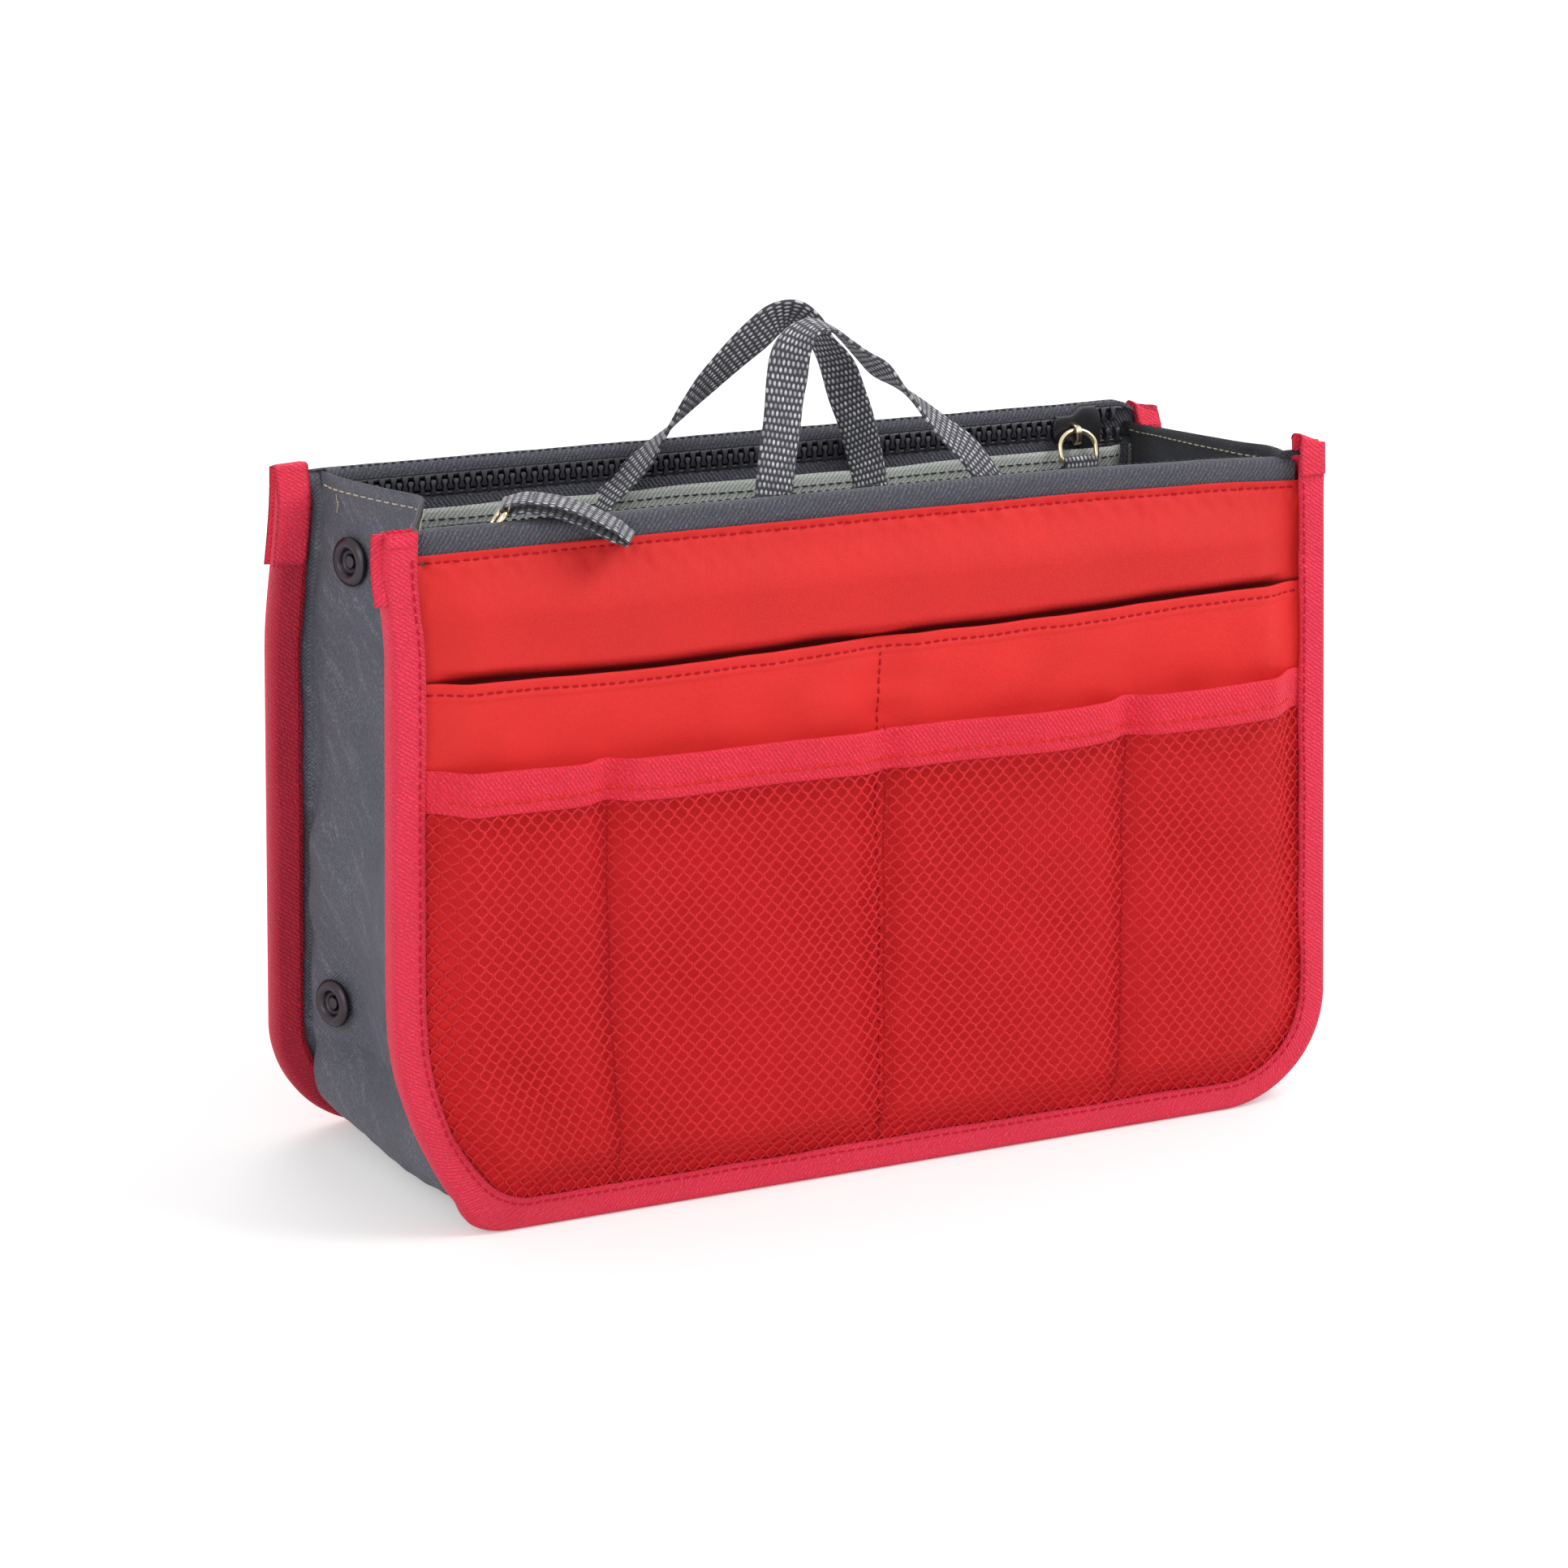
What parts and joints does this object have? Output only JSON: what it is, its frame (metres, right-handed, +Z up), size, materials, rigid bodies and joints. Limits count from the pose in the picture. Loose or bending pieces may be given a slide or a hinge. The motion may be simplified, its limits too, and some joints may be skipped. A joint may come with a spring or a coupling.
{
  "type": "cosmetic organizer bag",
  "caption": "Soft bag organizer with zipped double walls, slip and net pockets, short webbing handles and a gusset that press studs narrow.",
  "frame": {"origin": "centre of the bounding box's bottom, on the floor the bag stands on", "axes": "+X along the bag's width, +Y from the front wall to the rear wall, +Z up"},
  "size_m": [0.265, 0.1114, 0.2186],
  "materials": {
    "red_nylon": "plain-woven coated nylon with a dull shine",
    "red_net": "fine knitted net",
    "pink_tape": "ribbed grosgrain binding tape",
    "grey_nylon": "plain-woven nylon",
    "grey_twill": "light twill lining",
    "zip_tape": "woven zip tape",
    "zip_plastic": "moulded acetal",
    "webbing": "coarse woven webbing with light flecks",
    "foam": "soft closed-cell foam, hidden in the wall",
    "pale_gold": "pale gold plating",
    "gunmetal": "dark gunmetal plating"
  },
  "bodies": {
    "front_wall": {"front_face_panel": "red_nylon", "front_foam_pad": "foam", "front_backing": "grey_nylon", "front_slip_pocket": "red_nylon", "front_net_pocket": "red_net", "front_net_binding": "pink_tape", "front_edge_binding": "pink_tape", "front_lining": "grey_twill", "front_zip_upper_tape": "zip_tape", "front_zip_lower_tape": "zip_tape", "front_zip_upper_teeth": "zip_plastic", "front_zip_lower_teeth": "zip_plastic", "front_handle_left_leg": "webbing", "front_handle_right_leg": "webbing"},
    "rear_wall": {"rear_face_panel": "red_nylon", "rear_foam_pad": "foam", "rear_backing": "grey_nylon", "rear_slip_pocket": "red_nylon", "rear_net_pocket": "red_net", "rear_net_binding": "pink_tape", "rear_edge_binding": "pink_tape", "rear_lining": "grey_twill", "rear_zip_upper_tape": "zip_tape", "rear_zip_lower_tape": "zip_tape", "rear_zip_upper_teeth": "zip_plastic", "rear_zip_lower_teeth": "zip_plastic", "rear_handle_left_leg": "webbing", "rear_handle_right_leg": "webbing", "gusset": "grey_nylon"},
    "front_slider": {"front_zip_slider": "pale_gold"},
    "front_pull": {"front_pull_ring": "pale_gold", "front_pull_tab": "webbing"},
    "front_handle": {"front_handle_loop": "webbing"},
    "rear_slider": {"rear_zip_slider": "pale_gold"},
    "rear_pull": {"rear_pull_ring": "pale_gold", "rear_pull_tab": "webbing"},
    "rear_handle": {"rear_handle_loop": "webbing"},
    "left_rear_studs": {"left_rear_upper_socket": "gunmetal", "left_rear_upper_cap": "gunmetal", "left_rear_lower_socket": "gunmetal", "left_rear_lower_cap": "gunmetal"},
    "left_front_studs": {"left_front_upper_stud": "gunmetal", "left_front_upper_cap": "gunmetal", "left_front_lower_stud": "gunmetal", "left_front_lower_cap": "gunmetal"},
    "right_rear_studs": {"right_rear_upper_socket": "gunmetal", "right_rear_upper_cap": "gunmetal", "right_rear_lower_socket": "gunmetal", "right_rear_lower_cap": "gunmetal"},
    "right_front_studs": {"right_front_upper_stud": "gunmetal", "right_front_upper_cap": "gunmetal", "right_front_lower_stud": "gunmetal", "right_front_lower_cap": "gunmetal"}
  },
  "joints": [
    {"name": "width_adjust", "type": "slide", "parent": "rear_wall", "child": "front_wall", "axis": [0, 1, 0], "range_m": [0, 0.026], "deforming": ["gusset"]},
    {"name": "front_zip_travel", "type": "slide", "parent": "front_wall", "child": "front_slider", "axis": [1, 0, 0], "range_m": [0, 0.188], "deforming": ["front_zip_upper_teeth", "front_zip_lower_teeth", "front_handle_left_leg", "front_handle_right_leg"]},
    {"name": "rear_zip_travel", "type": "slide", "parent": "rear_wall", "child": "rear_slider", "axis": [-1, 0, 0], "range_m": [0, 0.188], "deforming": ["rear_zip_upper_teeth", "rear_zip_lower_teeth", "rear_handle_left_leg", "rear_handle_right_leg"]},
    {"name": "front_pull_swing", "type": "hinge", "parent": "front_slider", "child": "front_pull", "pos_m": [-0.0968, -0.03465, 0.1712], "axis": [-1, 0, 0], "range_deg": [0, 145]},
    {"name": "rear_pull_swing", "type": "hinge", "parent": "rear_slider", "child": "rear_pull", "pos_m": [0.0968, 0.03465, 0.17], "axis": [-1, 0, 0], "range_deg": [0, 160]},
    {"name": "front_handle_fold", "type": "hinge", "parent": "front_wall", "child": "front_handle", "pos_m": [0.0065, -0.0313, 0.1815], "axis": [1, 0, 0], "range_deg": [-35, 85]},
    {"name": "rear_handle_fold", "type": "hinge", "parent": "rear_wall", "child": "rear_handle", "pos_m": [-0.0065, 0.0313, 0.1815], "axis": [1, 0, 0], "range_deg": [-85, 35]},
    {"name": "left_rear_studs_follow", "type": "slide", "parent": "rear_wall", "child": "left_rear_studs", "axis": [0, 1, 0], "range_m": [0, 0.0052]},
    {"name": "left_front_studs_follow", "type": "slide", "parent": "front_wall", "child": "left_front_studs", "axis": [0, -1, 0], "range_m": [0, 0.0052]},
    {"name": "right_rear_studs_follow", "type": "slide", "parent": "rear_wall", "child": "right_rear_studs", "axis": [0, 1, 0], "range_m": [0, 0.0052]},
    {"name": "right_front_studs_follow", "type": "slide", "parent": "front_wall", "child": "right_front_studs", "axis": [0, -1, 0], "range_m": [0, 0.0052]}
  ],
  "couplings": [
    {"joint": "left_rear_studs_follow", "follows": "width_adjust", "ratio": 0.195},
    {"joint": "left_front_studs_follow", "follows": "width_adjust", "ratio": 0.195},
    {"joint": "right_rear_studs_follow", "follows": "width_adjust", "ratio": 0.195},
    {"joint": "right_front_studs_follow", "follows": "width_adjust", "ratio": 0.195}
  ]
}
